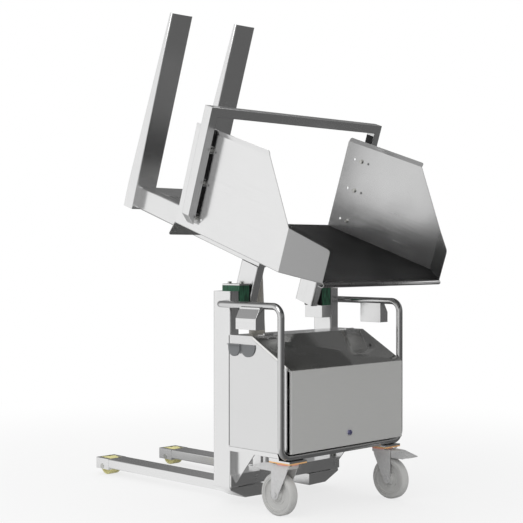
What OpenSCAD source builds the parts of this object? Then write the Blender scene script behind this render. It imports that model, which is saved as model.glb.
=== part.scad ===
// Mobile stainless-steel tipper with two lifting forks and a tapered chute.
// X runs across the machine. The forks and legs point to +Y and the operator stands at -Y.
// Z = 0 is the floor. The tipping frame is drawn tipped, with its chute over the operator's side.

/* [Tipping frame] */
// Angle between the lowered and the tipped frame, in degrees
tilt_angle = 108.5; // [100:0.5:112]
// Height of the pivot axis above the floor
pivot_z = 1004; // [990:1:1015]
// Distance from the pivot axis to the chute floor, square to the floor
floor_y = 292; // [285:1:310]
// Height of the chute floor's rear edge when the frame is lowered
floor_z = 739; // [725:1:755]
// Height of the fork tops when the frame is lowered
fork_low_z = 107; // [105:1:115]
// Width of the upright beams and of the tilt arms
beam_w = 52; // [40:1:60]
// Depth of the upright beams
beam_d = 120; // [100:1:120]
// Distance that the beams reach up behind the chute floor
beam_top = 328; // [326:1:400]
// Height of the tilt arms' section
arm_h = 120; // [100:1:124]
// Distance from the pivot axis down to the middle of the tilt arms
arm_drop = 1; // [0:1:14]
// Length that the tilt arms run past the pivot axis
arm_past = 46; // [44:1:60]
// Wall of the beams, arms and forks
frame_t = 4; // [3:0.5:6]
// Radius of the beams' and arms' long edges
frame_r = 9; // [7:1:12]

/* [Forks] */
// Length of a fork
fork_len = 1045; // [900:5:1100]
// Width of a fork
fork_w = 142; // [138:1:144]
// Depth of a fork's side walls at the heel
fork_heel_h = 70; // [55:1:72]
// Depth of a fork's side walls at the tip
fork_tip_h = 18; // [16:1:40]
// Length of a fork that keeps its full depth
fork_full = 126; // [100:1:300]

/* [Chute] */
// Width of the chute outside its side plates
chute_w = 1090; // [1000:5:1200]
// Width of the chute's mouth
mouth_w = 842; // [780:1:920]
// Length of the straight part of the chute floor
chute_len = 731; // [700:1:780]
// Length of the tapered part of the chute floor, along the floor
nose_len = 157; // [130:1:190]
// Thickness of the chute's sheet
sheet_t = 3; // [2:0.5:4]
// Height of the side plates
side_h = 470; // [440:1:500]
// Height of the side plates where the chute starts to narrow
nose_h = 200; // [160:1:240]
// Length of the side plates' level top edge
side_flat = 518; // [480:1:560]
// Drop of the nose flange's top edge along its length, in mm per mm
nose_fall = 0.26; // [0.1:0.01:0.4]
// Radius of the nose flange's free corner
nose_r = 22; // [10:1:30]
// Width of the flared strip along the side plates' top edge
flare_w = 22; // [14:1:24]
// Angle that the flared strip leans out from its side plate, in degrees
flare_lean = 20; // [10:1:40]
// Radius of the rolled lip at the mouth
lip_r = 11; // [8:1:14]
// Length of the lip's flat return under the floor
lip_return = 22; // [10:1:30]
// Height of the flange behind the chute floor
rear_h = 78; // [50:1:90]
// Angle that the rear flange leans out of square, in degrees
rear_lean = 21; // [10:1:30]

/* [Hoop] */
// Width of the hoop's tube, across the machine and at its bar
hoop_w = 45; // [35:1:50]
// Depth of the hoop's tube along the chute
hoop_d = 50; // [40:1:56]
// Wall of the hoop's tube
hoop_t = 3; // [2:0.5:4]
// Height of the hoop's top above the chute floor
hoop_h = 593; // [560:1:640]
// Gap between a side plate and the hoop
hoop_gap = 15; // [15:1:24]
// Diameter of the hoop's bolt holes
hoop_hole_d = 13; // [11:1:15]
// Step between the three rows of hoop holes along the chute
hoop_step = 50; // [40:1:60]

// Diameter of the hoop's bolts
hoop_bolt_d = 12; // [10:1:12]
// Diameter of the spacers between the side plates and the hoop
spacer_d = 30; // [24:1:34]

/* [Masts and crossmember] */
// Distance between the masts' inner faces
mast_gap = 654; // [640:1:680]
// Width of a mast, across the machine
mast_w = 60; // [50:1:66]
// Depth of a mast
mast_d = 120; // [112:1:124]
// Height of the masts' tops above the floor
mast_top = 1032; // [1020:1:1045]
// Height of the crossmember
cross_h = 58; // [50:1:64]
// Gap between the feet and the crossmember
cross_gap = 6; // [4:1:10]
// Thickness of the front plate on the crossmember
front_plate_t = 6; // [4:1:8]
// Thickness of the gussets under the cabinet
gusset_t = 6; // [4:1:10]

/* [Legs] */
// Distance from the middle of the machine to the middle of a leg
leg_x = 225; // [220:1:228]
// Width of a leg
leg_w = 120; // [112:1:122]
// Height of a leg's tube
leg_h = 50; // [46:1:54]
// Height of the legs' tops above the floor
leg_top = 92; // [90:1:94]
// Distance from the mast's middle to the end of the leg tubes
leg_end = 1012; // [960:1:1050]
// Width that a leg cap adds to each side of its leg
cap_over = 2; // [1:0.5:2]
// Diameter of the rollers
roller_d = 96; // [94:1:98]
// Width of the rollers
roller_w = 70; // [60:1:76]
// Diameter of the roller axles
roller_axle_d = 20; // [16:1:24]

/* [Castors] */
// Diameter of the castor wheels
castor_d = 200; // [180:1:206]
// Width of the castor wheels
castor_w = 48; // [40:1:52]
// Distance of the swivel axes inside the cabinet's sides
castor_in = 57; // [57:1:62]
// Distance from the mast's middle back to the swivel axes
castor_back = 395; // [393:1:400]
// Distance that a wheel trails its swivel axis
castor_trail = 54; // [46:1:58]
// Width of a castor plate and its pad, across the machine
plate_w = 115; // [108:1:115]
// Length of a castor plate and its pad
plate_l = 132; // [130:1:136]
// Height of the castor plates' undersides above the floor
castor_h = 252; // [250:1:256]
// Diameter of the swivel ring
ring_d = 102; // [90:1:104]
// Reach of the brake pedal from the swivel axis
pedal_reach = 200; // [160:1:204]

/* [Cabinet] */
// Distance that the cabinet reaches past each mast
cabinet_over = 9; // [4:1:12]
// Depth of the cabinet's flat top
top_depth = 159; // [140:1:180]
// Height of the cabinet's top above the floor
cabinet_top = 826; // [810:1:840]
// Distance from the mast's middle to the cover's front
cover_front = 473; // [471:1:480]
// Height of the cover's bend above the floor
bend_z = 681; // [660:1:700]
// Depth of the cover's side edges
cover_edge = 12; // [8:1:14]
// Thickness of the cover
cover_t = 2; // [1.5:0.5:3]
// Wall of the cabinet shell
shell_t = 2.5; // [1.5:0.5:4]
// Height of the tray
tray_h = 24; // [20:1:30]
// Thickness of the tray
tray_t = 3; // [2:0.5:5]
// Distance from the mast's middle to the tray's front
tray_front = 393; // [385:1:398]
// Height of the cover's lock above the floor
lock_z = 364; // [350:1:420]
// Distance of the cover's hinges from its middle
hinge_x = 290; // [200:1:340]

/* [Contents] */
// Width of the battery
battery_w = 260; // [200:5:270]
// Length of the battery
battery_l = 170; // [150:5:200]
// Height of the battery's case
battery_h = 205; // [180:5:220]
// Width of the oil tank
tank_w = 170; // [120:5:185]
// Length of the oil tank
tank_l = 180; // [150:5:200]
// Height of the oil tank
tank_h = 160; // [140:5:200]
// Diameter of the pump's motor
motor_d = 104; // [90:2:110]
// Length of the pump's motor
motor_l = 160; // [120:5:170]
// Width of the pump block
pump_w = 60; // [50:2:70]
// Width of the control unit
control_w = 200; // [160:5:220]
// Height of the control unit
control_h = 240; // [180:5:250]
// Depth of the control unit
control_d = 60; // [40:5:80]

/* [Handle] */
// Diameter of the handle tube
handle_d = 32; // [28:1:34]
// Wall of the handle tube
handle_t = 2.5; // [1.5:0.5:4]
// Distance of the handle's long runs outside the cabinet's sides
handle_out = 28; // [25:1:34]
// Height of the handle's upper runs above the floor
handle_z = 972; // [960:1:985]
// Distance from the mast's middle to the handle's upright runs
handle_y = 434; // [430:1:438]
// Radius of the handle's large bends
handle_bend = 50; // [40:1:70]
// Width of a control box
box_w = 58; // [50:1:70]
// Length of a control box
box_l = 133; // [120:1:150]
// Distance from the mast's middle to the near end of a control box
box_y = 186; // [160:1:210]
// Height of a control box from its bottom to the handle
box_h = 94; // [80:1:110]

/* [Cylinder] */
// Distance of the cylinder's axis from the middle of the machine
cylinder_x = 140; // [136:1:142]
// Height of the cylinder's foot pin above the floor
foot_pin_z = 250; // [240:1:262]
// Distance from the foot pin back to the mast's middle
foot_pin_back = 25; // [20:1:27]
// Diameter of the cylinder's barrel
barrel_d = 80; // [70:1:84]
// Diameter of the cylinder's rod
rod_d = 40; // [30:1:45]
// Diameter of the cylinder's pins
pin_d = 25; // [20:1:28]
// Distance from the pivot axis to the cylinder's head pin
lever_r = 146; // [144:1:148]
// Direction from the pivot to the head pin when tipped, in degrees above +Y
lever_angle = 79; // [78:0.5:80]

/* [Clearances] */
// Gap round a shaft, pin or bolt in its hole
fit_gap = 0.05; // [0.03:0.01:0.1]
// Gap between faces that slide or turn past each other
run_gap = 0.3; // [0.2:0.05:0.5]

/* [Hidden] */
$fn = 48;

steel = "#c9ccce";
steel_dark = "#8f9295";
plastic_green = "#3a5a48";
plastic_grey = "#b4b7bb";

far = 2000; // longer than anything that it cuts
half_chute = chute_w / 2;

// Masts, legs and feet
mast_t = 4;
mast_r = 8;
mast_in = mast_gap / 2;
mast_x = mast_in + mast_w / 2;
mast_out = mast_in + mast_w;
mast_y = mast_d / 2;
leg_t = 4;
leg_r = 6;
leg_in = leg_x - leg_w / 2;
leg_out = leg_x + leg_w / 2;
foot_t = 6;
foot_low = 34; // height of the feet's undersides above the floor
foot_toe = 11; // height of a foot's outer edge
cross_low = leg_top + cross_gap;
cross_top = cross_low + cross_h;
cross_t = 4;
foot_rise = (leg_top - foot_toe - foot_low - 2) / (mast_out - 3 - leg_out - 2);
mast_bolt_x = mast_x - 14;
mast_bolt_z = cross_top + 12;
mast_bolt_r = 5;

// Leg caps and rollers
cap_t = 4;
cap_low = 33; // height of the caps' bottom edges above the floor
cap_half = leg_w / 2 + cap_over;
roller_room = 1.5; // gap before and behind a roller
cap_len = 2 * cap_t + 2 * roller_room + roller_d;
cap_end = leg_end + cap_len;
roller_y = leg_end + cap_len / 2;
roller_slot_half = roller_w / 2 + 5;
axle_head_t = 1.5;

// Cabinet, tray, cover and handle
half_cabinet = mast_out + cabinet_over;
cabinet_w = 2 * half_cabinet;
castor_x = half_cabinet - castor_in;
handle_x = half_cabinet + handle_out;
tray_z = castor_h + 22; // height of the tray's underside
seam_z = tray_z + tray_h;
pad_t = 8;
castor_plate_t = 6;
pad_low = castor_h + castor_plate_t;
pad_top = pad_low + pad_t;
slope_y = -mast_y - top_depth; // rear edge of the cover's slope
slope = atan2(cabinet_top - bend_z, cover_front + slope_y);
slope_len = (cabinet_top - bend_z) / sin(slope);
cover_low = seam_z + 5;
shell_gap = 0.5; // gap between the shell's edge and the cover's side edge
shell_drop = (cover_edge + shell_gap) / cos(slope);
shell_front = cover_front - 28;
knuckle_r = 4.5;
hinge_pin_r = 3;
hinge_z = cabinet_top + knuckle_r + run_gap;
leaf_w = 60;
leaf_l = 35;
leaf_t = 2;
knuckle_w = 20;
lock_shaft_r = 6;
content_front = -mast_y - top_depth - 61; // where the battery and the oil tank start
tank_x = half_cabinet - 26 - tank_w; // inner side of the oil tank

// Control boxes and buttons
box_t = 3;
box_in = handle_x - 10;
box_out = box_in + box_w;
box_low = handle_z - handle_d / 2 - box_h;
box_top = handle_z - handle_d / 4;
gland_r = 8;
button_r = 10;
button_y = [-box_y - 29, -box_y - 104];
button_z = box_low + 43;
bezel_h = 4;

// Pivot and bearings
shaft_r = 25;
collar_r = 40;
collar_w = 10; // width of the collar between an arm and its bearing
arm_out = leg_x + beam_w / 2;
arm_in = leg_x - beam_w / 2;
block_in = arm_out + collar_w;
block_w = mast_in - block_in;
block_x = (mast_in + block_in) / 2;
block_low = pivot_z - 59;
block_top = pivot_z + 54;
bracket_h = 63;
bearing_plate_t = 8;
bearing_bolt_y = 42;
bearing_bolt_r = 6;

// Tipping frame, in its own coordinates: y is square to the chute floor, z runs along it
fork_z = fork_low_z - floor_z;
fork_start = -126; // heel end of the forks, behind the chute floor's face
heel_step = 2; // how far the forks' tops lie lower under the beams
heel_z = fork_z - heel_step;
pivot_s = pivot_z - floor_z;
arm_s = pivot_s - arm_drop;
nose_turn = atan2((chute_w - mouth_w) / 2, nose_len);
nose_side = norm([(chute_w - mouth_w) / 2, nose_len]);
hoop_n = [62, 231, 389]; // heights of the hoop holes above the floor
hoop_s = 125; // middle of the hoop along the chute
hoop_in = half_chute + hoop_gap;
hoop_out = hoop_in + hoop_w;
hoop_cut = 30; // height of the inner end of the hoop's mitred legs

// Castors
axle_z = castor_d / 2;
ring_h = 8;
ring_low = castor_h - ring_h;
crown_t = 7.7;
crown_top = ring_low - run_gap;
crown_low = crown_top - crown_t;
kingpin_r = 8;
castor_axle_r = 7;
yoke_half = castor_w / 2 + 6; // half of the gap between the yoke's side plates
yoke_t = 4;
pedal_pin_y = 62;
pedal_pin_r = 4;
pedal_pin_z = crown_low - 4;

// Cylinder
head_rest = [lever_r * cos(lever_angle), pivot_z + lever_r * sin(lever_angle)];
head_lowered = [lever_r * cos(lever_angle - tilt_angle), pivot_z + lever_r * sin(lever_angle - tilt_angle)];
cylinder_length = norm([head_rest[0] + foot_pin_back, head_rest[1] - foot_pin_z]);
cylinder_lean = atan2(head_rest[0] + foot_pin_back, head_rest[1] - foot_pin_z);
lowered_length = norm([head_lowered[0] + foot_pin_back, head_lowered[1] - foot_pin_z]);
gland_t = 30;
barrel_cap_t = 12;
barrel_len = lowered_length - 134;
piston_top = lowered_length - barrel_d / 2 - barrel_cap_t + 3;
piston_h = 30;
eye_w = 30;
eye_r = pin_d / 2 + 12.5;
foot_ear_gap = 2;
foot_ear_t = 18;
barrel_t = 8;

// The origin lies under the middle of the whole machine
nose_corner = [nose_side - nose_r,
    nose_h - nose_fall * (nose_side - nose_r) - nose_r * norm([1, nose_fall])];
nose_arc = arc(nose_corner, nose_r, 90 - atan(nose_fall), 0, 8);
nose_step = [sin(tilt_angle) * cos(nose_turn), -cos(tilt_angle)];
back_reach = (floor_z + chute_len - pivot_z) * sin(tilt_angle) - floor_y * cos(tilt_angle)
    + nose_corner * nose_step + nose_r * norm(nose_step);
mast_from_origin = (back_reach - cap_end) / 2;

// A side plate, seen square to the chute floor: x across the machine, y along the chute
side_start = 5;
folded_sheet = [[half_chute, side_start], [half_chute, chute_len], [mouth_w / 2, chute_len + nose_len],
    [mouth_w / 2 - sheet_t * cos(nose_turn), chute_len + nose_len - sheet_t * sin(nose_turn)],
    [half_chute - sheet_t, chute_len - sheet_t * tan(nose_turn / 2)], [half_chute - sheet_t, side_start]];
// The same plate from the side: x along the chute, y square to its floor
side_outline = concat([[0, 0], [0, side_h], [side_flat, side_h], [chute_len, nose_h]],
    [for (p = nose_arc) [chute_len + p[0] * cos(nose_turn), p[1]]],
    [[chute_len + nose_len + 1, nose_corner[1]], [chute_len + nose_len + 1, 0]]);
flare_start = 8;
flare_root = 10; // height that the flared strip shares with its side plate

// Moves a shape from the masts' middle to its place over the origin
module machine() {
    translate([0, mast_from_origin, 0]) children();
}

// Mirrors a shape that is drawn on the right to the left side when side is -1
module on_side(side) {
    if (side < 0) mirror([1, 0, 0]) children();
    else children();
}

// Turns the tipping frame from lowered to tipped and takes it to its place
module tipped() {
    machine()
        translate([0, 0, pivot_z])
            rotate([tilt_angle, 0, 0])
                translate([0, floor_y, floor_z - pivot_z]) children();
}

// A rectangle with rounded corners, centred
module rounded_rect(w, d, r) {
    square([w - 2 * r, d], center = true);
    square([w, d - 2 * r], center = true);
    for (x = [-1, 1], y = [-1, 1])
        translate([x * (w / 2 - r), y * (d / 2 - r)]) circle(r);
}

// A rectangular tube that stands on its own base
module square_tube(w, d, r, t, length) {
    linear_extrude(length) difference() {
        rounded_rect(w, d, r);
        rounded_rect(w - 2 * t, d - 2 * t, r - t / 2);
    }
}

// Extrudes an outline of y and z points across the machine
module across(x_from, x_to) {
    translate([x_from, 0, 0]) rotate([90, 0, 90]) linear_extrude(x_to - x_from) children();
}

// A cylinder along X
module cross_cylinder(r, x_from, x_to) {
    translate([x_from, 0, 0]) rotate([0, 90, 0]) cylinder(r = r, h = x_to - x_from);
}

// A round-headed fastener that stands on its head's seat, with its shank downwards
module bolt(head_r, head_h, shank_r, shank_l) {
    cylinder(r = head_r, h = head_h);
    translate([0, 0, -shank_l]) cylinder(r = shank_r, h = shank_l + 1);
}

// Points of an arc about a centre
function arc(c, r, from, to, n) =
    [for (i = [0 : n]) c + r * [cos(from + (to - from) * i / n), sin(from + (to - from) * i / n)]];

// Masts, feet and legs

module mast(side) {
    color(steel) machine() on_side(side) translate([mast_x, 0, leg_top]) difference() {
        linear_extrude(mast_top - leg_top) rounded_rect(mast_w, mast_d, mast_r);
        translate([0, 0, -1]) linear_extrude(mast_top - leg_top - mast_t + 1)
            rounded_rect(mast_w - 2 * mast_t, mast_d - 2 * mast_t, mast_r - mast_t);
        translate([mast_bolt_x - mast_x, 0, mast_bolt_z - leg_top]) rotate([90, 0, 0])
            cylinder(r = mast_bolt_r + fit_gap, h = far);
    }
}

module mast_feet() {
    color(steel_dark) machine() for (side = [-1, 1]) on_side(side) difference() {
        translate([0, mast_y, 0]) rotate([90, 0, 0]) linear_extrude(mast_d) polygon([
            [leg_in, foot_low], [leg_out + 2, foot_low + 2], [mast_out - 3, leg_top - foot_toe],
            [mast_out, leg_top], [leg_in, leg_top]]);
        translate([0, mast_y - foot_t, 0]) rotate([90, 0, 0]) linear_extrude(mast_d - 2 * foot_t) polygon([
            [leg_in + foot_t, foot_low + foot_t + 2], [leg_out, foot_low + foot_t + 2],
            [leg_out + (leg_top - foot_low - 2 * foot_t - 4) / foot_rise, leg_top - foot_t],
            [leg_in + foot_t, leg_top - foot_t]]);
        translate([leg_x, 0, foot_low - 1]) cylinder(r = 8, h = 2 * foot_t);
    }
}

module leg(side) {
    color(steel) machine() on_side(side) translate([leg_x, mast_y, leg_top - leg_h / 2])
        rotate([-90, 0, 0]) square_tube(leg_w, leg_h, leg_r, leg_t, leg_end - mast_y);
}

module leg_caps() {
    color(steel) machine() for (side = [-1, 1]) on_side(side) translate([leg_x, 0, 0]) difference() {
        translate([-cap_half, leg_end, cap_low]) cube([2 * cap_half, cap_len, leg_top - cap_low]);
        translate([cap_t - cap_half, leg_end + cap_t, cap_low - 1])
            cube([2 * (cap_half - cap_t), cap_len - 2 * cap_t, leg_top - cap_low - cap_t + 1]);
        translate([-roller_slot_half, leg_end + cap_t, cap_low])
            cube([2 * roller_slot_half, cap_len - 2 * cap_t, leg_top]);
        translate([0, roller_y, roller_d / 2]) cross_cylinder(roller_axle_d / 2 + fit_gap, -far, far);
    }
}

module roller_axles() {
    color(steel_dark) machine() for (side = [-1, 1])
        on_side(side) translate([leg_x, roller_y, roller_d / 2]) {
            cross_cylinder(roller_axle_d / 2, -cap_half, cap_half);
            for (s = [-1, 1]) on_side(s) {
                cross_cylinder(roller_axle_d / 2 + 4, cap_half, cap_half + axle_head_t);
                cross_cylinder(roller_axle_d / 2 + 5, roller_w / 2 + run_gap, cap_half - cap_t);
            }
        }
}

module roller(side) {
    color("#f0e9a8") machine() on_side(side) translate([leg_x, roller_y, roller_d / 2]) difference() {
        union() {
            cross_cylinder(roller_d / 2, 3 - roller_w / 2, roller_w / 2 - 3);
            cross_cylinder(roller_d / 2 - 3, -roller_w / 2, roller_w / 2);
        }
        cross_cylinder(roller_axle_d / 2 + fit_gap, -far, far);
    }
}

module crossmember() {
    color(steel) machine() difference() {
        union() {
            translate([-mast_in, -mast_y, cross_low]) cube([mast_gap, mast_d, cross_h]);
            translate([-mast_out, -mast_y - front_plate_t, cross_low])
                cube([2 * mast_out, front_plate_t, cross_h]);
        }
        translate([-far / 2, cross_t - mast_y, cross_low + cross_t])
            cube([far, mast_d - 2 * cross_t, cross_h - 2 * cross_t]);
    }
}

module frame_gussets() {
    gusset_l = 140;
    gusset_low = cross_low + 17;
    color(steel) machine() for (side = [-1, 1]) on_side(side)
        across(mast_x - 3 - gusset_t / 2, mast_x - 3 + gusset_t / 2) polygon([
            [-mast_y - front_plate_t, gusset_low], [-mast_y - front_plate_t, cross_top],
            [-mast_y, cross_top], [-mast_y, tray_z], [-mast_y - gusset_l, tray_z]]);
}

// Castors

module castor_pads() {
    color(steel) machine() for (side = [-1, 1]) on_side(side) translate([castor_x, -castor_back, 0]) {
        difference() {
            translate([-plate_w / 2, -plate_l / 2, pad_low]) cube([plate_w, plate_l, pad_t]);
            castor_bolt_places() translate([0, 0, pad_low - 1]) cylinder(r = 5 + fit_gap, h = pad_t - 1);
        }
        translate([-plate_w / 2, castor_back - tray_front, pad_top])
            cube([plate_w, plate_l / 2 - castor_back + tray_front, tray_z - pad_top]);
    }
}

module castor_bolt_places() {
    for (x = [-1, 1], y = [-1, 1])
        translate([x * (plate_w / 2 - 17.5), y * (plate_l / 2 - 13.5), 0]) children();
}

module castor_plates() {
    color(plastic_grey) machine() for (side = [-1, 1]) on_side(side) translate([castor_x, -castor_back, 0]) {
        difference() {
            translate([-plate_w / 2, -plate_l / 2, castor_h]) cube([plate_w, plate_l, castor_plate_t]);
            castor_bolt_places() translate([0, 0, castor_h - 1])
                cylinder(r = 5 + fit_gap, h = castor_plate_t + 2);
        }
        translate([0, 0, crown_low - 8]) cylinder(r = kingpin_r, h = castor_h - crown_low + 9);
        translate([0, 0, crown_low - 8 - run_gap]) cylinder(r = kingpin_r + 5, h = 8);
    }
}

module swivel_rings() {
    color("#ff9a9a") machine() for (side = [-1, 1]) on_side(side)
        translate([castor_x, -castor_back, ring_low]) difference() {
            cylinder(r = ring_d / 2, h = ring_h);
            translate([0, 0, -1]) cylinder(r = kingpin_r + 10, h = ring_h + 2);
        }
}

// Takes a castor, drawn with its wheel trailing to +Y, to its place; trail is 1 or -1
module castor_place(side, trail) {
    machine() translate([side * castor_x, -castor_back, 0]) rotate([0, 0, trail < 0 ? 180 : 0]) children();
}

module castor_yoke(side, trail) {
    boss_r = 22;
    lug_half = 12 + run_gap;
    skirt_low = crown_low - 8;
    plate_front = -30;
    color(plastic_grey) castor_place(side, trail) difference() {
        union() {
            translate([0, 0, crown_low]) linear_extrude(crown_t) yoke_head(0);
            translate([0, 0, skirt_low]) linear_extrude(crown_top - skirt_low) difference() {
                yoke_head(0);
                yoke_head(yoke_t);
                translate([-far, plate_front / 2]) square(2 * far);
            }
            for (s = [-1, 1]) on_side(s) {
                across(yoke_half, yoke_half + yoke_t) polygon([
                    [plate_front, crown_top], [castor_trail + boss_r, crown_top],
                    [castor_trail + boss_r, axle_z], [castor_trail, axle_z - boss_r],
                    [castor_trail - boss_r, axle_z], [plate_front + 8, skirt_low - 22],
                    [plate_front + 2, skirt_low - 6], [plate_front, skirt_low + 1]]);
                translate([0, castor_trail, axle_z]) cross_cylinder(boss_r, yoke_half, yoke_half + yoke_t);
                translate([0, castor_trail, axle_z])
                    cross_cylinder(12, yoke_half + yoke_t - 1, yoke_half + yoke_t + 6);
                across(lug_half, lug_half + 5) polygon([
                    [20, crown_low], [20, crown_low + 2], [pedal_pin_y - 8, crown_low + 2],
                    [pedal_pin_y + 7, pedal_pin_z], [pedal_pin_y, pedal_pin_z - 7], [50, pedal_pin_z - 7]]);
            }
            translate([0, castor_trail, axle_z]) cross_cylinder(castor_axle_r, -yoke_half - 1, yoke_half + 1);
            translate([0, pedal_pin_y, pedal_pin_z]) cross_cylinder(pedal_pin_r, -lug_half - 1, lug_half + 1);
        }
        translate([0, 0, crown_low - 1]) cylinder(r = kingpin_r + fit_gap, h = crown_t + 2);
    }
}

// A yoke's head from above: round at the front, straight at its sides
module yoke_head(inset) {
    half = yoke_half + yoke_t - inset;
    intersection() {
        circle(50 - inset);
        square([2 * half, 2 * far], center = true);
    }
    translate([-half, 0]) square([2 * half, 50]);
}

module castor_wheel(side, trail) {
    hub_r = 20;
    color("#c0c2c6") castor_place(side, trail) translate([0, castor_trail, axle_z]) difference() {
        union() {
            cross_cylinder(axle_z, 10 - castor_w / 2, castor_w / 2 - 10);
            cross_cylinder(axle_z - 2, 4 - castor_w / 2, castor_w / 2 - 4);
            cross_cylinder(axle_z - 6, -castor_w / 2, castor_w / 2);
            cross_cylinder(hub_r, run_gap - yoke_half, yoke_half - run_gap);
        }
        for (s = [-1, 1]) on_side(s) difference() {
            cross_cylinder(axle_z - 26, castor_w / 2 - 12, far);
            cross_cylinder(hub_r, 0, far);
        }
        cross_cylinder(castor_axle_r + fit_gap, -far, far);
    }
}

// A pedal that reaches back over the wheel as a channel with round-ended walls
module castor_pedal(side, trail) {
    half = yoke_half - 1.5;
    wall = 4;
    top_start = [pedal_pin_y + 22, crown_top + 1];
    top_bend = [pedal_pin_y + 60, crown_top - 1];
    tip = [pedal_reach, crown_top - 22];
    low_z = pedal_pin_z - 26;
    color(plastic_grey) castor_place(side, trail) difference() {
        union() {
            translate([0, pedal_pin_y, pedal_pin_z]) cross_cylinder(pedal_pin_r + 4, -12, 12);
            across(-12, 12) polygon([
                [pedal_pin_y - 3, pedal_pin_z + 6], [pedal_pin_y + 5, pedal_pin_z - 5],
                top_start + [4, -wall], top_start + [2, 0], top_start]);
            across(-half, half) polygon([
                top_start, top_bend, tip, tip - [2, wall], top_bend - [0, wall], top_start - [0, wall]]);
            for (s = [-1, 1]) on_side(s) across(half - wall, half) polygon([
                top_start - [6, 6], top_start, top_bend, tip, tip - [10, 6], [tip[0] - 34, low_z + 6],
                [tip[0] - 50, low_z], [top_start[0], low_z], [top_start[0] - 6, low_z + 5]]);
        }
        translate([0, pedal_pin_y, pedal_pin_z]) cross_cylinder(pedal_pin_r + fit_gap, -far, far);
    }
}

// Cabinet

module cabinet_tray() {
    chamfer = 11;
    groove_h = 2;
    groove_d = 1.5;
    color(steel_dark) machine() difference() {
        across(-half_cabinet, half_cabinet) polygon([
            [-mast_y, tray_z], [-tray_front, tray_z], [chamfer - tray_front, seam_z], [-mast_y, seam_z]]);
        across(tray_t - half_cabinet, half_cabinet - tray_t) polygon([
            [-mast_y - tray_t, tray_z + tray_t], [tray_t + 1 - tray_front, tray_z + tray_t],
            [tray_t + 1 + chamfer - tray_front, seam_z + 1], [-mast_y - tray_t, seam_z + 1]]);
        for (side = [-1, 1]) on_side(side) translate([half_cabinet - groove_d, -far, seam_z - groove_h])
            cube([far, far, groove_h + 1]);
    }
}

// Height of the cover's slope at a distance y from the masts' middle
function slope_z(y) = cabinet_top - (slope_y - y) * tan(slope);

module cabinet_shell() {
    color(steel) machine() difference() {
        across(-half_cabinet, half_cabinet) polygon([
            [-mast_y, seam_z], [-mast_y, cabinet_top], [slope_y, cabinet_top],
            [slope_y, cabinet_top - shell_drop], [-shell_front, slope_z(-shell_front) - shell_drop],
            [-shell_front, seam_z]]);
        translate([shell_t - half_cabinet, -far - mast_y - shell_t, seam_z - 1])
            cube([cabinet_w - 2 * shell_t, far, cabinet_top - seam_z - shell_t + 1]);
        for (side = [-1, 1]) on_side(side) handle_run(handle_d / 2 + 2, 0);
    }
}

// What the bent cover encloses up to the depth y_to, less an inset all round
module cover_envelope(inset, y_to) {
    intersection() {
        translate([inset - half_cabinet, inset - cover_front, cover_low + inset])
            cube([cabinet_w - 2 * inset, y_to + cover_front - inset, far]);
        translate([-far, -cover_front, bend_z]) rotate([slope - 90, 0, 0]) translate([0, inset, -far])
            cube([2 * far, far, 2 * far]);
    }
}

module front_cover() {
    return_l = cover_edge + 6;
    edge_bend = [-cover_front, bend_z] + cover_edge / (1 + sin(slope)) * [1 + sin(slope), -cos(slope)];
    edge_end = edge_bend + 2 * slope_len * [cos(slope), sin(slope)];
    color(steel) machine() difference() {
        cover_envelope(0, slope_y - run_gap);
        cover_envelope(cover_t, 0);
        across(-far, far) polygon([
            [edge_bend[0], cover_low + cover_t], edge_bend, edge_end, [edge_end[0], cover_low + cover_t]]);
        translate([-far, return_l - cover_front, 0]) cube([2 * far, far, cover_low + cover_t + 1]);
        translate([0, -cover_front, lock_z]) rotate([-90, 0, 0])
            cylinder(r = lock_shaft_r + fit_gap, h = 20, center = true);
    }
}

module cover_lock() {
    head_r = 12;
    head_h = 8;
    cam_y = 13;
    color("#8080a0") machine() translate([0, -cover_front, lock_z]) {
        difference() {
            translate([0, -run_gap, 0]) rotate([90, 0, 0]) cylinder(r = head_r, h = head_h);
            translate([-8, -head_h - run_gap - 1, -1.5]) cube([16, 4, 3]);
        }
        translate([0, -1, 0]) rotate([-90, 0, 0]) cylinder(r = lock_shaft_r, h = cam_y + 4);
        translate([-20, cam_y, -7]) cube([40, 3, 14]);
    }
}

// The two outer knuckles of a hinge when outer is true, else the middle one, along X
module knuckles(r, outer) {
    if (outer)
        for (s = [-1, 1]) on_side(s) cross_cylinder(r, knuckle_w / 2, leaf_w / 2);
    else
        cross_cylinder(r, run_gap - knuckle_w / 2, knuckle_w / 2 - run_gap);
}

module hinge_bases() {
    web_y = knuckle_r + 1.5;
    color(steel) machine() for (side = [-1, 1]) on_side(side)
        translate([hinge_x, slope_y, hinge_z]) difference() {
        union() {
            knuckles(knuckle_r, false);
            translate([-leaf_w / 2, web_y, cabinet_top - hinge_z]) cube([leaf_w, leaf_l, leaf_t]);
            translate([run_gap - knuckle_w / 2, 0, cabinet_top - hinge_z])
                cube([knuckle_w - 2 * run_gap, web_y + 1, leaf_t]);
        }
        cross_cylinder(hinge_pin_r + fit_gap, -far, far);
    }
}

module hinge_leaves() {
    leaf_lift = 0.1; // gap between a leaf and the cabinet's top
    color(steel) machine() for (side = [-1, 1]) on_side(side) translate([hinge_x, slope_y, 0]) {
        difference() {
            union() {
                translate([0, 0, cabinet_top]) rotate([slope, 0, 0])
                    translate([-leaf_w / 2, -leaf_l, 0]) cube([leaf_w, leaf_l, leaf_t]);
                translate([0, 0, hinge_z]) knuckles(knuckle_r, true);
            }
            translate([0, 0, hinge_z])
                cross_cylinder(knuckle_r + run_gap + 0.2, -knuckle_w / 2, knuckle_w / 2);
            translate([-far / 2, -run_gap / 2, 0]) cube([far, far, cabinet_top + leaf_lift]);
        }
        translate([0, 0, hinge_z]) cross_cylinder(hinge_pin_r, -leaf_w / 2, leaf_w / 2);
    }
}

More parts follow.
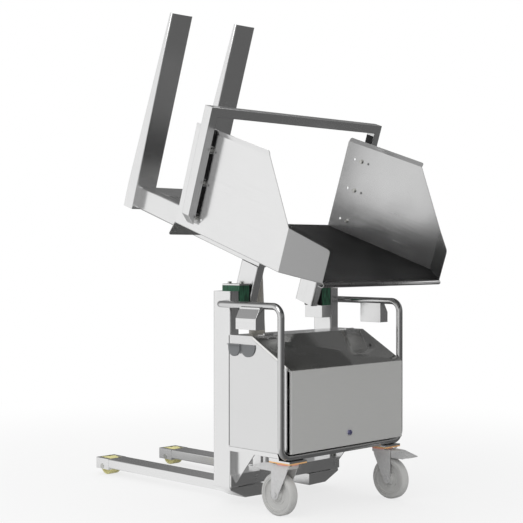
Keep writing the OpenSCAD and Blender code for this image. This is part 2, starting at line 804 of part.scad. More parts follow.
// Two half-round cheeks with a bent strip between them, for hanging up the charging cable
module cable_hook() {
    hook_z = bend_z + 46;
    hook_h = 58;
    cheek_t = 5;
    strip_t = 4;
    strip_out = 13;
    rear = [-136, -mast_y - 1];
    front = [-240, -144];
    color("#7a7c7e") machine() translate([-half_cabinet, 0, hook_z]) {
        for (cheek = [rear, front]) {
            r = (cheek[1] - cheek[0]) / 2;
            translate([0, (cheek[0] + cheek[1]) / 2, 0]) intersection() {
                translate([0, 0, r]) union() {
                    cross_cylinder(r, -cheek_t, 0);
                    translate([-cheek_t, -r, 0]) cube([cheek_t, 2 * r, r]);
                }
                translate([-far, -far, 0]) cube([2 * far, 2 * far, hook_h]);
            }
        }
        translate([-strip_out, front[1] - 1, hook_h - strip_t])
            cube([strip_out, rear[1] - front[1] + 1, strip_t]);
        translate([-strip_out, front[1] - 1, hook_h - 30]) cube([strip_out, strip_t, 30]);
        translate([-2, front[1] - 1, hook_h - 44]) cube([2, rear[0] - front[1] + 2, 16]);
    }
}

// What the cabinet holds

module battery() {
    lid_in = battery_w / 65; // step from the case in to its lid
    lid_h = battery_h / 14;
    post_h = battery_h / 15;
    color("#30343a") machine()
        translate([46 - half_cabinet, content_front, tray_z + tray_t]) {
            cube([battery_w, battery_l, battery_h]);
            translate([lid_in, lid_in, battery_h - 1])
                cube([battery_w - 2 * lid_in, battery_l - 2 * lid_in, lid_h + 1]);
            for (x = [1, 5]) translate([x * battery_w / 6, battery_l / 4, battery_h + lid_h - 1])
                cylinder(r = battery_w / 29, h = post_h + 1);
        }
}

module oil_tank() {
    wall = tank_w / 42;
    neck_r = tank_w / 10;
    color("#2e3236") machine() translate([tank_x, content_front, tray_z + tray_t]) {
        difference() {
            cube([tank_w, tank_l, tank_h]);
            translate([wall, wall, wall]) cube([tank_w - 2 * wall, tank_l - 2 * wall, tank_h - 2 * wall]);
            translate([0.7 * tank_w, tank_l / 2, tank_h / 2]) cylinder(r = neck_r, h = tank_h);
        }
        translate([0.7 * tank_w, tank_l / 2, tank_h - wall - 1]) cylinder(r = neck_r, h = neck_r + 6);
        translate([0.7 * tank_w, tank_l / 2, tank_h + neck_r]) cylinder(r = 1.4 * neck_r, h = 0.7 * neck_r);
    }
}

module pump_motor() {
    motor_z = motor_d / 2 + 28;
    color("#55585c") machine() translate([tank_x, content_front + tank_l / 2, tray_z + tray_t + motor_z]) {
        translate([-pump_w, -pump_w * 0.75, -pump_w]) cube([pump_w, 1.5 * pump_w, 1.8 * pump_w]);
        cross_cylinder(motor_d / 2, -pump_w - motor_l, 1 - pump_w);
        translate([-pump_w - motor_l / 2, 0, 0]) cylinder(r = motor_d / 3.5, h = 0.77 * motor_d);
    }
}

module control_unit() {
    rim = control_w / 50;
    color("#3c4046") machine()
        translate([10 - 0.6 * control_w, -mast_y - shell_t - control_d, cabinet_top - 35 - control_h]) {
            cube([control_w, control_d, control_h]);
            translate([rim, -rim, rim]) cube([control_w - 2 * rim, rim + 1, control_h - 2 * rim]);
        }
}

// Handle tube and control boxes

// Half of the handle's run, as a solid of radius r that starts over away from the mast
module handle_run(r, over) {
    elbow = handle_x - mast_out;
    elbow_y = -10 - elbow;
    end_y = handle_bend - handle_y;
    low_z = pad_top + handle_d / 2;
    translate([mast_out - over, elbow_y + elbow, handle_z]) rotate([0, 90, 0]) cylinder(r = r, h = over);
    translate([mast_out, elbow_y, handle_z])
        rotate_extrude(angle = 90) translate([elbow, 0]) circle(r);
    translate([handle_x, elbow_y, handle_z]) rotate([90, 0, 0]) cylinder(r = r, h = elbow_y - end_y);
    translate([handle_x, end_y, handle_z - handle_bend]) rotate([90, 0, 90]) rotate([0, 0, 90])
        rotate_extrude(angle = 90) translate([handle_bend, 0]) circle(r);
    translate([handle_x, -handle_y, low_z + handle_bend])
        cylinder(r = r, h = handle_z - low_z - 2 * handle_bend);
    translate([handle_x - handle_bend, -handle_y, low_z + handle_bend]) rotate([90, 0, 0])
        rotate([0, 0, -90]) rotate_extrude(angle = 90) translate([handle_bend, 0]) circle(r);
    translate([0, -handle_y, low_z]) rotate([0, 90, 0]) cylinder(r = r, h = handle_x - handle_bend);
}

module handle_tube() {
    color(steel) machine() difference() {
        for (side = [-1, 1]) on_side(side) handle_run(handle_d / 2, 0);
        for (side = [-1, 1]) on_side(side) handle_run(handle_d / 2 - handle_t, 2);
    }
}

module control_box_body() {
    handle_low = handle_z - handle_d / 2;
    shoulder = box_low + 51;
    ridge = handle_x + handle_d / 2 + 7;
    difference() {
        translate([0, -box_y, 0]) rotate([90, 0, 0]) linear_extrude(box_l) polygon([
            [box_in, box_low], [box_out, box_low], [box_out, shoulder], [ridge, handle_low],
            [ridge, box_top], [box_in, box_top]]);
        translate([0, -box_y - box_t, 0]) rotate([90, 0, 0]) linear_extrude(box_l - 2 * box_t) polygon([
            [box_in + box_t, box_low + box_t], [box_out - box_t, box_low + box_t],
            [box_out - box_t, shoulder - 1], [ridge - box_t, handle_low - 5],
            [box_in + box_t, handle_low - 5]]);
        translate([handle_x, 0, handle_z]) rotate([90, 0, 0]) cylinder(r = handle_d / 2, h = far);
        translate([box_in + box_w / 2, -box_y - box_l + 22, box_low - 1])
            cylinder(r = gland_r, h = box_t + 2);
    }
}

module control_box(side) {
    color("#dfe1e2") machine() difference() {
        union() {
            on_side(side) control_box_body();
            if (side < 0) for (y = button_y) translate([-box_in, y, button_z])
                cross_cylinder(button_r + 4, -1, bezel_h);
        }
        if (side < 0) for (y = button_y) translate([-box_in, y, button_z])
            cross_cylinder(button_r + run_gap, -box_t - 1, bezel_h + 1);
    }
}

module push_button(y) {
    machine() translate([-box_in, y, button_z]) {
        cross_cylinder(button_r, -box_t - 8, bezel_h + 5.5);
        cross_cylinder(button_r + 3, -box_t - 8, -box_t - run_gap);
    }
}

// Bearings

module bearing_block(side) {
    color(plastic_green) machine() on_side(side) difference() {
        translate([block_in, -mast_y, block_low]) cube([block_w, mast_d, block_top - block_low]);
        translate([0, 0, pivot_z]) cross_cylinder(shaft_r + fit_gap, 0, far);
        for (y = [-1, 1]) translate([block_x, y * bearing_bolt_y, block_low - 1])
            cylinder(r = bearing_bolt_r + fit_gap, h = block_top - block_low + 2);
    }
}

module bearing_plates() {
    color(steel) machine() for (side = [-1, 1]) on_side(side) difference() {
        translate([block_in, -mast_y, block_top]) cube([block_w, mast_d, bearing_plate_t]);
        for (y = [-1, 1]) translate([block_x, y * bearing_bolt_y, block_top - 1])
            cylinder(r = bearing_bolt_r + fit_gap, h = bearing_plate_t + 2);
    }
}

module bearing_brackets() {
    bracket_t = 6;
    color(steel) machine() for (side = [-1, 1]) on_side(side) difference() {
        translate([block_in, -mast_y, block_low - bracket_h]) cube([block_w, mast_d, bracket_h]);
        translate([block_in + bracket_t, bracket_t - mast_y, block_low - bracket_h - 1])
            cube([block_w - 2 * bracket_t, mast_d - 2 * bracket_t, bracket_h - bracket_t + 1]);
        for (y = [-1, 1]) translate([block_x, y * bearing_bolt_y, block_low - 2 * bracket_t])
            cylinder(r = bearing_bolt_r + fit_gap, h = 3 * bracket_t);
    }
}

module chassis_bolts() {
    shank = block_top - block_low + bearing_plate_t + 16;
    color(steel_dark) machine() for (side = [-1, 1]) on_side(side) {
        for (y = [-1, 1]) translate([block_x, y * bearing_bolt_y, block_top + bearing_plate_t]) {
            bolt(9, 10, bearing_bolt_r, shank);
            translate([0, 0, -shank]) cylinder(r = 9, h = 10);
        }
        translate([mast_bolt_x, -mast_y, mast_bolt_z]) rotate([90, 0, 0])
            bolt(7, 6, mast_bolt_r, mast_t + 6);
        translate([castor_x, -castor_back, castor_h]) castor_bolt_places()
            mirror([0, 0, 1]) bolt(8, 5, 5, castor_plate_t + pad_t - 3);
    }
}

// Tipping frame

module fork(side) {
    depth_end = fork_z - fork_tip_h;
    tip = fork_start + fork_len;
    inner_r = frame_r - frame_t;
    color(steel) tipped() on_side(side) difference() {
        intersection() {
            across(leg_x - fork_w / 2, leg_x + fork_w / 2) polygon([
                [fork_start, heel_z], [-1, heel_z], [-1, fork_z], [tip, fork_z], [tip, depth_end],
                [fork_start + fork_full, fork_z - fork_heel_h], [fork_start, fork_z - fork_heel_h]]);
            fork_section(fork_w, frame_r, fork_z);
        }
        fork_section(fork_w - 2 * frame_t, inner_r, fork_z - frame_t);
    }
}

// A long block under the height top, with its two upper edges rounded, round a fork's middle
module fork_section(w, r, top) {
    translate([leg_x, far, top]) rotate([90, 0, 0]) linear_extrude(2 * far) {
        translate([r - w / 2, -100]) square([w - 2 * r, 100]);
        translate([-w / 2, -100]) square([w, 100 - r]);
        for (x = [-1, 1]) translate([x * (w / 2 - r), -r]) circle(r);
    }
}

module beam(side) {
    color(steel) tipped() on_side(side) translate([leg_x, -sheet_t - beam_d / 2, heel_z]) difference() {
        linear_extrude(beam_top - heel_z) rounded_rect(beam_w, beam_d, frame_r);
        translate([0, 0, -1]) linear_extrude(beam_top - heel_z - frame_t + 1)
            rounded_rect(beam_w - 2 * frame_t, beam_d - 2 * frame_t, frame_r - frame_t);
    }
}

module tilt_arm(side) {
    arm_start = sheet_t + beam_d;
    arm_end = floor_y + arm_past;
    color(steel) tipped() on_side(side) difference() {
        translate([leg_x, -arm_start, arm_s]) rotate([90, 0, 0]) difference() {
            linear_extrude(arm_end - arm_start) rounded_rect(beam_w, arm_h, frame_r);
            translate([0, 0, -1]) linear_extrude(arm_end - arm_start - frame_t + 1)
                rounded_rect(beam_w - 2 * frame_t, arm_h - 2 * frame_t, frame_r - frame_t);
        }
        translate([0, -floor_y, pivot_s]) cross_cylinder(shaft_r + fit_gap, 0, far);
    }
}

module heel_crossbeam() {
    heel_h = 162;
    heel_d = 57;
    color(steel) tipped() difference() {
        translate([-arm_in, -sheet_t - heel_d, heel_z]) cube([2 * arm_in, heel_d, heel_h]);
        translate([-far / 2, -far - sheet_t - frame_t, heel_z + frame_t])
            cube([far, far, heel_h - 2 * frame_t]);
    }
}

module cross_rails() {
    rail_w = 60;
    rail_d = 40;
    color(steel) tipped() for (s = [100, beam_top - rail_w / 2])
        translate([-arm_in, -sheet_t - rail_d / 2, s]) rotate([0, 90, 0])
            square_tube(rail_w, rail_d, 6, 3, 2 * arm_in);
}

module chute_floor() {
    half_mouth = mouth_w / 2;
    floor_end = chute_len + nose_len;
    color(steel) tipped() {
        rotate([90, 0, 0]) linear_extrude(sheet_t) polygon([
            [-half_chute, 0], [half_chute, 0], [half_chute, chute_len], [half_mouth, floor_end],
            [-half_mouth, floor_end], [-half_chute, chute_len]]);
        translate([0, -lip_r, floor_end]) difference() {
            cross_cylinder(lip_r, -half_mouth, half_mouth);
            cross_cylinder(lip_r - sheet_t, -far, far);
            translate([-far, -far, -far]) cube([2 * far, 2 * far, far]);
        }
        translate([-half_mouth, -2 * lip_r, floor_end - lip_return]) cube([mouth_w, sheet_t, lip_return]);
        rotate([180 + rear_lean, 0, 0]) translate([0, 0, -sheet_t]) linear_extrude(sheet_t) difference() {
            rear_flange_outline(15);
            for (s = [-1, 1]) translate([s * leg_x - beam_w / 2 - 2, -1]) square([beam_w + 4, far]);
        }
    }
}

// The rear flange: as wide as the chute, with two rounded free corners
module rear_flange_outline(r) {
    translate([-half_chute, 0]) square([chute_w, rear_h - r]);
    translate([r - half_chute, 0]) square([chute_w - 2 * r, rear_h]);
    for (x = [-1, 1]) translate([x * (half_chute - r), rear_h - r]) circle(r);
}

module side_plate(side) {
    color(steel) tipped() on_side(side) difference() {
        union() {
            intersection() {
                rotate([90, 0, 0]) translate([0, 0, -side_h]) linear_extrude(side_h) polygon(folded_sheet);
                rotate([0, -90, 0]) linear_extrude(2 * far, center = true) polygon(side_outline);
            }
            flare();
        }
        for (n = hoop_n, row = [-1 : 1]) translate([0, n, hoop_s + row * hoop_step])
            cross_cylinder(hoop_hole_d / 2, 0, far);
    }
}

// The strip that leans out along a side plate's top edge, with rounded free corners
module flare() {
    lean = flare_w * [sin(flare_lean), cos(flare_lean)];
    across_sheet = sheet_t * [-cos(flare_lean), sin(flare_lean)];
    translate([half_chute, side_h, flare_start]) intersection() {
        linear_extrude(side_flat - flare_start) polygon([
            [-sheet_t, -flare_root], [0, -flare_root], [0, 0], lean, lean + across_sheet,
            [-sheet_t, sheet_t * tan(flare_lean / 2)]]);
        rotate([0, -90, 0]) linear_extrude(2 * far, center = true)
            flare_outline(side_flat - flare_start, lean[1] + across_sheet[1], 12);
    }
}

module flare_outline(length, w, r) {
    translate([0, -flare_root]) square([length, w - r + flare_root]);
    translate([r, 0]) square([length - 2 * r, w]);
    for (x = [r, length - r]) translate([x, w - r]) circle(r);
}

module hoop_solid(inset) {
    difference() {
        translate([inset - hoop_out, 0, hoop_s + inset - hoop_d / 2])
            cube([2 * (hoop_out - inset), hoop_h - inset, hoop_d - 2 * inset]);
        translate([-hoop_in - inset, -1, -far])
            cube([2 * (hoop_in + inset), hoop_h - hoop_w + inset + 1, 2 * far]);
    }
}

module hoop() {
    color(steel) tipped() difference() {
        hoop_solid(0);
        difference() {
            hoop_solid(hoop_t);
            hoop_mitre(hoop_t * sqrt(2));
        }
        hoop_mitre(0);
        for (side = [-1, 1]) on_side(side) {
            for (n = hoop_n) translate([hoop_in, n, hoop_s])
                cross_cylinder(hoop_bolt_d / 2 + fit_gap, -1, hoop_t + 1);
            translate([hoop_in, hoop_h - 73, hoop_s]) cross_cylinder(4, -1, hoop_t + 1);
        }
    }
}

// What the mitred ends cut off the hoop's legs, raised by lift
module hoop_mitre(lift) {
    for (side = [-1, 1]) on_side(side) translate([0, 0, -far]) linear_extrude(2 * far) polygon([
        [hoop_in - 1, -1], [hoop_out + 1, -1], [hoop_out + 1, hoop_cut + hoop_w + 1 + lift],
        [hoop_in - 1, hoop_cut - 1 + lift]]);
}

module hoop_fixings() {
    head_r = 0.92 * hoop_bolt_d;
    head_t = hoop_bolt_d / 2;
    nut_t = 0.67 * hoop_bolt_d;
    color(steel_dark) tipped() for (side = [-1, 1]) on_side(side) for (n = hoop_n)
        translate([half_chute, n, hoop_s]) {
            difference() {
                cross_cylinder(spacer_d / 2, 0, hoop_gap);
                cross_cylinder(hoop_bolt_d / 2 + fit_gap, -1, hoop_gap + 1);
            }
            cross_cylinder(hoop_bolt_d / 2, -sheet_t - 1, hoop_gap + hoop_t + nut_t);
            cross_cylinder(head_r, -sheet_t - head_t, -sheet_t);
            cross_cylinder(0.83 * hoop_bolt_d, hoop_gap + hoop_t, hoop_gap + hoop_t + nut_t);
        }
}

module pivot_shafts() {
    color(steel_dark) machine() for (side = [-1, 1]) on_side(side) translate([0, 0, pivot_z]) {
        cross_cylinder(shaft_r, arm_in, mast_in - 1);
        cross_cylinder(collar_r, arm_out, block_in - run_gap);
    }
}

module cylinder_lever() {
    plate_t = 9;
    tip_r = 34;
    root_half = 60; // half of the plate's length where it meets the arm
    pin = head_in_frame();
    root = arm_s - arm_h / 2 + 40 - pin[1];
    color(steel) tipped() on_side(-1) translate([0, pin[0], pin[1]]) {
        across(arm_in - plate_t, arm_in) {
            circle(tip_r);
            polygon([[-tip_r, 0], [-root_half, root], [root_half, root], [tip_r, 0]]);
        }
        cross_cylinder(eye_r, cylinder_x + eye_w / 2 + 0.5, arm_in - plate_t + 1);
    }
}

// The head pin's place in the tipping frame's own coordinates
function head_in_frame() = let (a = lever_angle - tilt_angle)
    [lever_r * cos(a) - floor_y, lever_r * sin(a) + pivot_s];

// Cylinder

// Takes a shape that is drawn along +Z from the foot pin to the cylinder's place
module cylinder_line() {
    machine() translate([-cylinder_x, -foot_pin_back, foot_pin_z]) rotate([-cylinder_lean, 0, 0]) children();
}

module cylinder_foot() {
    ear_in = eye_w / 2 + foot_ear_gap;
    base_t = 12;
    ear_half = eye_r + 2;
    color(steel_dark) machine() translate([-cylinder_x, -foot_pin_back, 0]) {
        translate([-45, -32, cross_top]) cube([90, 78, base_t]);
        difference() {
            for (s = [-1, 1]) on_side(s) {
                translate([ear_in, -ear_half, cross_top + base_t - 1])
                    cube([foot_ear_t, 2 * ear_half, foot_pin_z - cross_top - base_t + 1]);
                translate([0, 0, foot_pin_z]) cross_cylinder(ear_half, ear_in, ear_in + foot_ear_t);
            }
            translate([0, 0, foot_pin_z]) cross_cylinder(pin_d / 2 - 0.5, -far, far);
        }
        translate([0, 0, foot_pin_z]) {
            cross_cylinder(pin_d / 2, -ear_in - foot_ear_t, ear_in + foot_ear_t);
            for (s = [-1, 1]) on_side(s)
                cross_cylinder(pin_d / 2 + 4, ear_in + foot_ear_t - 1, ear_in + foot_ear_t + 4);
        }
    }
}

module cylinder_rod() {
    color("#e8eaec") cylinder_line() difference() {
        union() {
            cross_cylinder(eye_r, -eye_w / 2, eye_w / 2);
            cylinder(r = eye_w / 2 - 1, h = eye_r + 8);
            translate([0, 0, eye_r + 6]) cylinder(r = rod_d / 2, h = piston_top - piston_h - eye_r - 5);
            translate([0, 0, piston_top - piston_h])
                cylinder(r = barrel_d / 2 - barrel_t - fit_gap, h = piston_h);
        }
        cross_cylinder(pin_d / 2 + fit_gap, -far, far);
    }
}

module cylinder_barrel() {
    barrel_end = cylinder_length - 35;
    barrel_start = barrel_end - barrel_len;
    color("#b5b2aa") cylinder_line() {
        difference() {
            union() {
                translate([0, 0, barrel_start]) cylinder(r = barrel_d / 2, h = barrel_len);
                translate([0, 0, barrel_end - 1]) cylinder(r = 15, h = 36);
                translate([0, 0, cylinder_length]) cross_cylinder(eye_r, -eye_w / 2, eye_w / 2);
            }
            translate([0, 0, barrel_start - 1]) cylinder(r = rod_d / 2 + fit_gap, h = gland_t + 2);
            translate([0, 0, barrel_start + gland_t])
                cylinder(r = barrel_d / 2 - barrel_t, h = barrel_len - gland_t - barrel_cap_t);
            translate([0, 0, cylinder_length]) cross_cylinder(pin_d / 2 - 0.5, -far, far);
        }
        translate([0, 0, cylinder_length]) {
            cross_cylinder(pin_d / 2, -eye_w / 2, eye_w / 2);
            cross_cylinder(pin_d / 2 + 4, eye_w / 2 - 1, eye_w / 2 + 8);
        }
    }
}

mast(-1);  // mast_left
mast(1);  // mast_right
mast_feet();
leg(-1);  // leg_left
leg(1);  // leg_right
leg_caps();
roller_axles();
roller(-1);  // roller_left
roller(1);  // roller_right
crossmember();
frame_gussets();
castor_pads();
castor_plates();
swivel_rings();
castor_yoke(-1, 1);  // castor_yoke_left
castor_yoke(1, -1);  // castor_yoke_right
castor_wheel(-1, 1);  // castor_wheel_left
castor_wheel(1, -1);  // castor_wheel_right
castor_pedal(-1, 1);  // castor_pedal_left
castor_pedal(1, -1);  // castor_pedal_right
cabinet_tray();
cabinet_shell();
front_cover();
hinge_bases();
hinge_leaves();
cover_lock();
cable_hook();
battery();
pump_motor();
oil_tank();
control_unit();
handle_tube();
control_box(-1);  // control_box_left
control_box(1);  // control_box_right
color("#3f8a4a") push_button(button_y[0]);  // tip_button
color("#c0392b") push_button(button_y[1]);  // lower_button
bearing_block(-1);  // bearing_block_left
bearing_block(1);  // bearing_block_right
bearing_brackets();
bearing_plates();
chassis_bolts();
fork(-1);  // fork_left
fork(1);  // fork_right
beam(-1);  // beam_left
beam(1);  // beam_right
tilt_arm(-1);  // tilt_arm_left
tilt_arm(1);  // tilt_arm_right
heel_crossbeam();
cross_rails();
chute_floor();
side_plate(-1);  // side_plate_left
side_plate(1);  // side_plate_right
hoop();
hoop_fixings();
pivot_shafts();
cylinder_lever();
cylinder_foot();
cylinder_rod();
cylinder_barrel();
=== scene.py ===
import math

import bpy
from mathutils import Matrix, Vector


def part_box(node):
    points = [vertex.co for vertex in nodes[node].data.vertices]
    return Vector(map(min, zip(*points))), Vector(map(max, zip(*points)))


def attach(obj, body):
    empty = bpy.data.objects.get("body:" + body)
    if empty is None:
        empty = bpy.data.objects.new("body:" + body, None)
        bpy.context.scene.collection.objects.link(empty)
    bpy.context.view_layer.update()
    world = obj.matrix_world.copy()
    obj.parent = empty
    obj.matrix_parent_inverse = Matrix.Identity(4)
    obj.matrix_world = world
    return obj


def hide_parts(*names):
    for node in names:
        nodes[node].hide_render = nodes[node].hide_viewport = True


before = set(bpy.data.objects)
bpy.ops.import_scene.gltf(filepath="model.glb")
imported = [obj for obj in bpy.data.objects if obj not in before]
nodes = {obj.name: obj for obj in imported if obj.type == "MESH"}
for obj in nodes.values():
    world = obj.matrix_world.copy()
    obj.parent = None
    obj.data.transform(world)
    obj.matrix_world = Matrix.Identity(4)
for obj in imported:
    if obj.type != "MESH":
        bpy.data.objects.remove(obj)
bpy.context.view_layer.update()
MM = 0.001

# Main places of the machine, from the masts' middle, and the angle that the tipping frame is turned by at rest
MAST_Y = -0.196279
PIVOT_Z_MM = 1004
CHUTE_OUT_MM = 292
CHUTE_REAR_MM = 265
TILT = math.radians(108.5)

# The front of the chute floor's rolled lip, and the height where the cover folds from its front to its slope
LIP_Y = min(c[1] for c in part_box("chute_floor"))
COVER_FOLD_Z = 0.681


# Colours and node helpers

def linear(code):
    """The linear colour of an sRGB hex code."""
    parts = [int(code[i:i + 2], 16) / 255 for i in (1, 3, 5)]
    return [c / 12.92 if c <= 0.04045 else ((c + 0.055) / 1.055) ** 2.4 for c in parts] + [1.0]


def add_node(tree, kind, sockets=None, **settings):
    """One node. A socket's value is a plain value, or another node's output that feeds it."""
    made = tree.nodes.new(kind)
    for name, value in settings.items():
        setattr(made, name, value)
    for name, value in (sockets or {}).items():
        if isinstance(value, bpy.types.NodeSocket):
            tree.links.new(value, made.inputs[name])
        else:
            made.inputs[name].default_value = value
    return made


def new_material(name):
    """An empty material: its tree and its principled shader, joined to the output."""
    made = bpy.data.materials.new(name)
    made.use_nodes = True
    tree = made.node_tree
    tree.nodes.clear()
    shader = add_node(tree, "ShaderNodeBsdfPrincipled")
    add_node(tree, "ShaderNodeOutputMaterial", {"Surface": shader.outputs[0]})
    return made, tree, shader


def shader_of(made):
    """A finished material's tree and principled shader, for changes to one of its areas."""
    tree = made.node_tree
    return tree, next(node for node in tree.nodes if node.type == "BSDF_PRINCIPLED")


def mix_colour(tree, share, first, second):
    """Two colours mixed by share."""
    return add_node(tree, "ShaderNodeMix", {0: share, 6: first, 7: second}, data_type="RGBA").outputs[2]


def blend_number(tree, share, first, second):
    """Two numbers mixed by share."""
    return add_node(tree, "ShaderNodeMix", {0: share, 2: first, 3: second}, data_type="FLOAT").outputs[0]


def in_range(tree, value, low, high):
    """A 0 to 1 value moved to run from low to high."""
    return add_node(tree, "ShaderNodeMapRange", {"Value": value, "To Min": low, "To Max": high}).outputs[0]


def falling(tree, value, low, high):
    """1 where the value is at or below low, 0 at or above high."""
    return add_node(tree, "ShaderNodeMapRange", {
        "Value": value, "From Min": low, "From Max": high, "To Min": 1.0, "To Max": 0.0},
        interpolation_type="SMOOTHSTEP").outputs[0]


def shaded(base, share):
    """A linear colour with its brightness multiplied by share."""
    return [c * share for c in base[:3]] + [1.0]


def coordinate(tree, letter, output="Object"):
    """One axis of the object coordinates, or of the object's own normal."""
    place = add_node(tree, "ShaderNodeTexCoord").outputs[output]
    return add_node(tree, "ShaderNodeSeparateXYZ", {"Vector": place}).outputs[letter]


def pattern_place(tree, turn=(0, 0, 0), stretch=(1, 1, 1)):
    """Object coordinates, turned and then stretched."""
    place = add_node(tree, "ShaderNodeTexCoord").outputs["Object"]
    if any(turn):
        place = add_node(tree, "ShaderNodeMapping", {"Vector": place, "Rotation": turn}).outputs[0]
    return add_node(tree, "ShaderNodeMapping", {"Vector": place, "Scale": stretch}).outputs[0]


# Metals

def brushed_steel(name, along, colour="#EAEAEA", rough=0.24, line_mm=5.0, line_len_mm=160.0,
                  tipped=False, metallic=1.0):
    """Stainless steel sheet with a ground finish: fine lines along one axis, and faint clouds where the
    belt pressed harder. The real lines are 0.1 to 0.3 mm apart, too fine for the render, so they are
    drawn as wide as line_mm."""
    made, tree, shader = new_material(name)
    turn = (-TILT, 0, 0) if tipped else (0, 0, 0)
    stretch = [1000 / line_mm] * 3
    stretch["XYZ".index(along)] = 1000 / line_len_mm
    lines = add_node(tree, "ShaderNodeTexNoise", {
        "Vector": pattern_place(tree, turn, stretch),
        "Scale": 1.0, "Detail": 5.0, "Roughness": 0.65}).outputs[0]
    clouds = add_node(tree, "ShaderNodeTexNoise", {
        "Vector": pattern_place(tree, turn), "Scale": 7.0, "Detail": 3.0}).outputs[0]
    base = linear(colour)
    tree.links.new(mix_colour(tree, in_range(tree, lines, 0.0, 1.0), shaded(base, 0.912), base),
                   shader.inputs["Base Color"])
    both = add_node(tree, "ShaderNodeMath", {0: lines, 1: clouds}, operation="MULTIPLY").outputs[0]
    tree.links.new(in_range(tree, both, rough - 0.07, rough + 0.17), shader.inputs["Roughness"])
    grain = add_node(tree, "ShaderNodeBump", {
        "Height": lines, "Strength": 0.04, "Distance": 0.002}).outputs[0]
    tree.links.new(grain, shader.inputs["Normal"])
    shader.inputs["Metallic"].default_value = metallic
    return made


def polished_steel(name, colour="#DADAD8", rough=0.12):
    """Stainless tube with a mirror polish, which keeps faint rings and dull spots from the polishing wheel."""
    made, tree, shader = new_material(name)
    dull = add_node(tree, "ShaderNodeTexNoise", {
        "Vector": pattern_place(tree), "Scale": 30.0, "Detail": 4.0}).outputs[0]
    base = linear(colour)
    tree.links.new(mix_colour(tree, dull, shaded(base, 0.93), base), shader.inputs["Base Color"])
    tree.links.new(in_range(tree, dull, rough - 0.04, rough + 0.08), shader.inputs["Roughness"])
    shader.inputs["Metallic"].default_value = 1.0
    return made


def plated_steel(name, colour, rough, metallic):
    """Zinc-plated pressed steel: a dull silvery skin whose crystals, 9 mm across, show as faint patches."""
    made, tree, shader = new_material(name)
    patches = add_node(tree, "ShaderNodeTexVoronoi", {
        "Vector": pattern_place(tree), "Scale": 1000 / 9}).outputs["Color"]
    patch = add_node(tree, "ShaderNodeSeparateColor", {"Color": patches}).outputs[0]
    grit = add_node(tree, "ShaderNodeTexNoise", {
        "Vector": pattern_place(tree), "Scale": 180.0, "Detail": 3.0}).outputs[0]
    base = linear(colour)
    tree.links.new(mix_colour(tree, patch, shaded(base, 0.92), base), shader.inputs["Base Color"])
    tree.links.new(in_range(tree, grit, rough - 0.06, rough + 0.08), shader.inputs["Roughness"])
    tree.links.new(add_node(tree, "ShaderNodeBump", {
        "Height": grit, "Strength": 0.08, "Distance": 0.001}).outputs[0], shader.inputs["Normal"])
    shader.inputs["Metallic"].default_value = metallic
    return made


# Plastics and paints

def moulded_plastic(name, colour, rough=0.45, coat=0.0):
    """Moulded plastic: an even colour, with the fine pebbled grain of the mould, 6.4 mm from lump to lump."""
    made, tree, shader = new_material(name)
    pebbles = add_node(tree, "ShaderNodeTexNoise", {
        "Vector": pattern_place(tree), "Scale": 1000 / 6.4, "Detail": 3.0}).outputs[0]
    clouds = add_node(tree, "ShaderNodeTexNoise", {
        "Vector": pattern_place(tree), "Scale": 14.0, "Detail": 2.0}).outputs[0]
    base = linear(colour)
    tree.links.new(mix_colour(tree, clouds, shaded(base, 0.88), base), shader.inputs["Base Color"])
    tree.links.new(in_range(tree, pebbles, rough - 0.08, rough + 0.1), shader.inputs["Roughness"])
    tree.links.new(add_node(tree, "ShaderNodeBump", {
        "Height": pebbles, "Strength": 0.12, "Distance": 0.001}).outputs[0], shader.inputs["Normal"])
    shader.inputs["Coat Weight"].default_value = coat
    return made


def cast_nylon(name, colour, fleck):
    """Cast nylon plate, sawn and planed: upright saw lines and darker flecks in a green body."""
    made, tree, shader = new_material(name)
    saw = add_node(tree, "ShaderNodeTexNoise", {
        "Vector": pattern_place(tree, (0, 0, 0), (220, 220, 26)), "Scale": 1.0, "Detail": 5.0}).outputs[0]
    sharp = add_node(tree, "ShaderNodeMapRange", {
        "Value": saw, "From Min": 0.36, "From Max": 0.66}).outputs[0]
    tree.links.new(mix_colour(tree, sharp, linear(fleck), linear(colour)), shader.inputs["Base Color"])
    tree.links.new(in_range(tree, saw, 0.45, 0.65), shader.inputs["Roughness"])
    tree.links.new(add_node(tree, "ShaderNodeBump", {
        "Height": saw, "Strength": 0.25, "Distance": 0.002}).outputs[0], shader.inputs["Normal"])
    return made


def sprayed_paint(name, colour):
    """Sprayed machine paint with a slight orange-peel skin, 8 mm from lump to lump."""
    made, tree, shader = new_material(name)
    peel = add_node(tree, "ShaderNodeTexNoise", {
        "Vector": pattern_place(tree), "Scale": 1000 / 8, "Detail": 2.0}).outputs[0]
    base = linear(colour)
    tree.links.new(mix_colour(tree, peel, shaded(base, 0.9), base), shader.inputs["Base Color"])
    tree.links.new(in_range(tree, peel, 0.3, 0.45), shader.inputs["Roughness"])
    tree.links.new(add_node(tree, "ShaderNodeBump", {
        "Height": peel, "Strength": 0.1, "Distance": 0.001}).outputs[0], shader.inputs["Normal"])
    shader.inputs["Coat Weight"].default_value = 0.3
    return made


# Ground stainless steel mirrors the room softly, smeared across the grind: one for each way it runs
upright_steel = brushed_steel("stainless_ground_upright", "Z")
lengthwise_steel = brushed_steel("stainless_ground_lengthwise", "Y")
crosswise_steel = brushed_steel("stainless_ground_crosswise", "X")
tipped_long_steel = brushed_steel("stainless_ground_along_forks", "Z", tipped=True)
tipped_square_steel = brushed_steel("stainless_ground_square_to_chute", "Y", tipped=True)
tipped_cross_steel = brushed_steel("stainless_ground_across_chute", "X", tipped=True)
